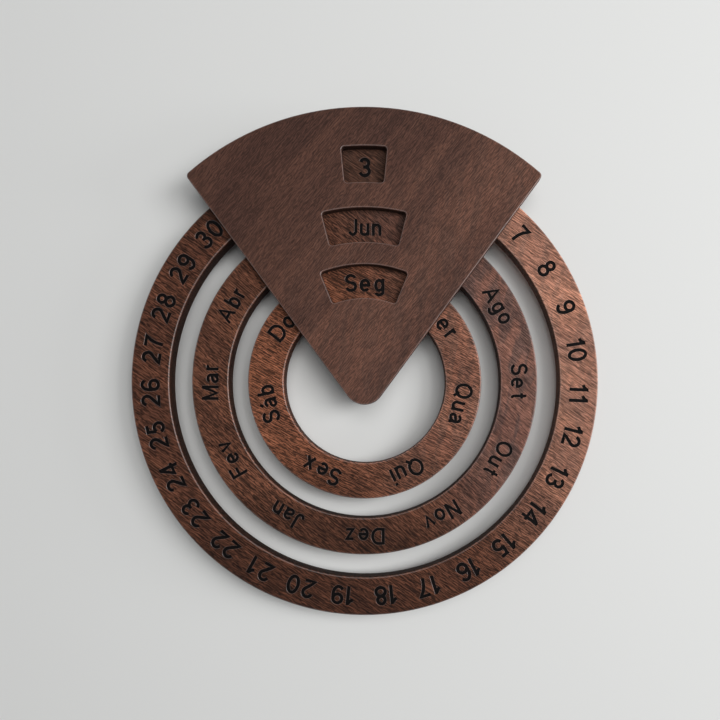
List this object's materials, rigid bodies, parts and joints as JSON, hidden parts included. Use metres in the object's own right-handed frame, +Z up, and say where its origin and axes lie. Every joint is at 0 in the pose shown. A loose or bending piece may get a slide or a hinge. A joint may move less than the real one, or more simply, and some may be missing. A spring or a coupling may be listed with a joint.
{
  "type": "perpetual wall calendar",
  "caption": "Wooden perpetual wall calendar: free rings of dates, months and weekdays turn inside a fan-shaped housing with a window over each ring.",
  "frame": {"origin": "where the rings' common axis meets the wall, on the rear face of the lower bumper", "axes": "+X to the right of someone facing the calendar, +Y into the wall, +Z up the wall"},
  "size_m": [0.3, 0.0269, 0.324],
  "materials": {
    "walnut_housing": "dark walnut under a matt oil, fine diagonal grain",
    "walnut_ring": "warmer brown walnut under a satin oil; characters engraved and filled black",
    "black_felt": "pressed wool felt",
    "beech": "plain beech dowel, smooth",
    "zinc_plated_steel": "bright zinc plating",
    "black_rubber": "matt self-adhesive bumper"
  },
  "bodies": {
    "housing": {"front_cover": "walnut_housing", "back_plate": "walnut_housing", "rim_guide": "walnut_housing", "date_month_guide": "walnut_housing", "month_weekday_guide": "walnut_housing", "hub_guide": "walnut_housing", "date_felt": "black_felt", "month_felt": "black_felt", "weekday_felt": "black_felt", "locating_dowels": "beech", "assembly_screws": "zinc_plated_steel", "hanger_left": "zinc_plated_steel", "hanger_right": "zinc_plated_steel", "hanger_screws": "zinc_plated_steel", "bumper_left": "black_rubber", "bumper_right": "black_rubber", "bumper_tip": "black_rubber"},
    "dates": {"date_ring": "walnut_ring"},
    "months": {"month_ring": "walnut_ring"},
    "weekdays": {"weekday_ring": "walnut_ring"}
  },
  "joints": [
    {"name": "date_turn", "type": "hinge", "parent": "housing", "child": "dates", "pos_m": [0, 0, 0], "axis": [0, -1, 0], "continuous": true},
    {"name": "month_turn", "type": "hinge", "parent": "housing", "child": "months", "pos_m": [0, 0, 0], "axis": [0, -1, 0], "continuous": true},
    {"name": "weekday_turn", "type": "hinge", "parent": "housing", "child": "weekdays", "pos_m": [0, 0, 0], "axis": [0, -1, 0], "continuous": true}
  ]
}
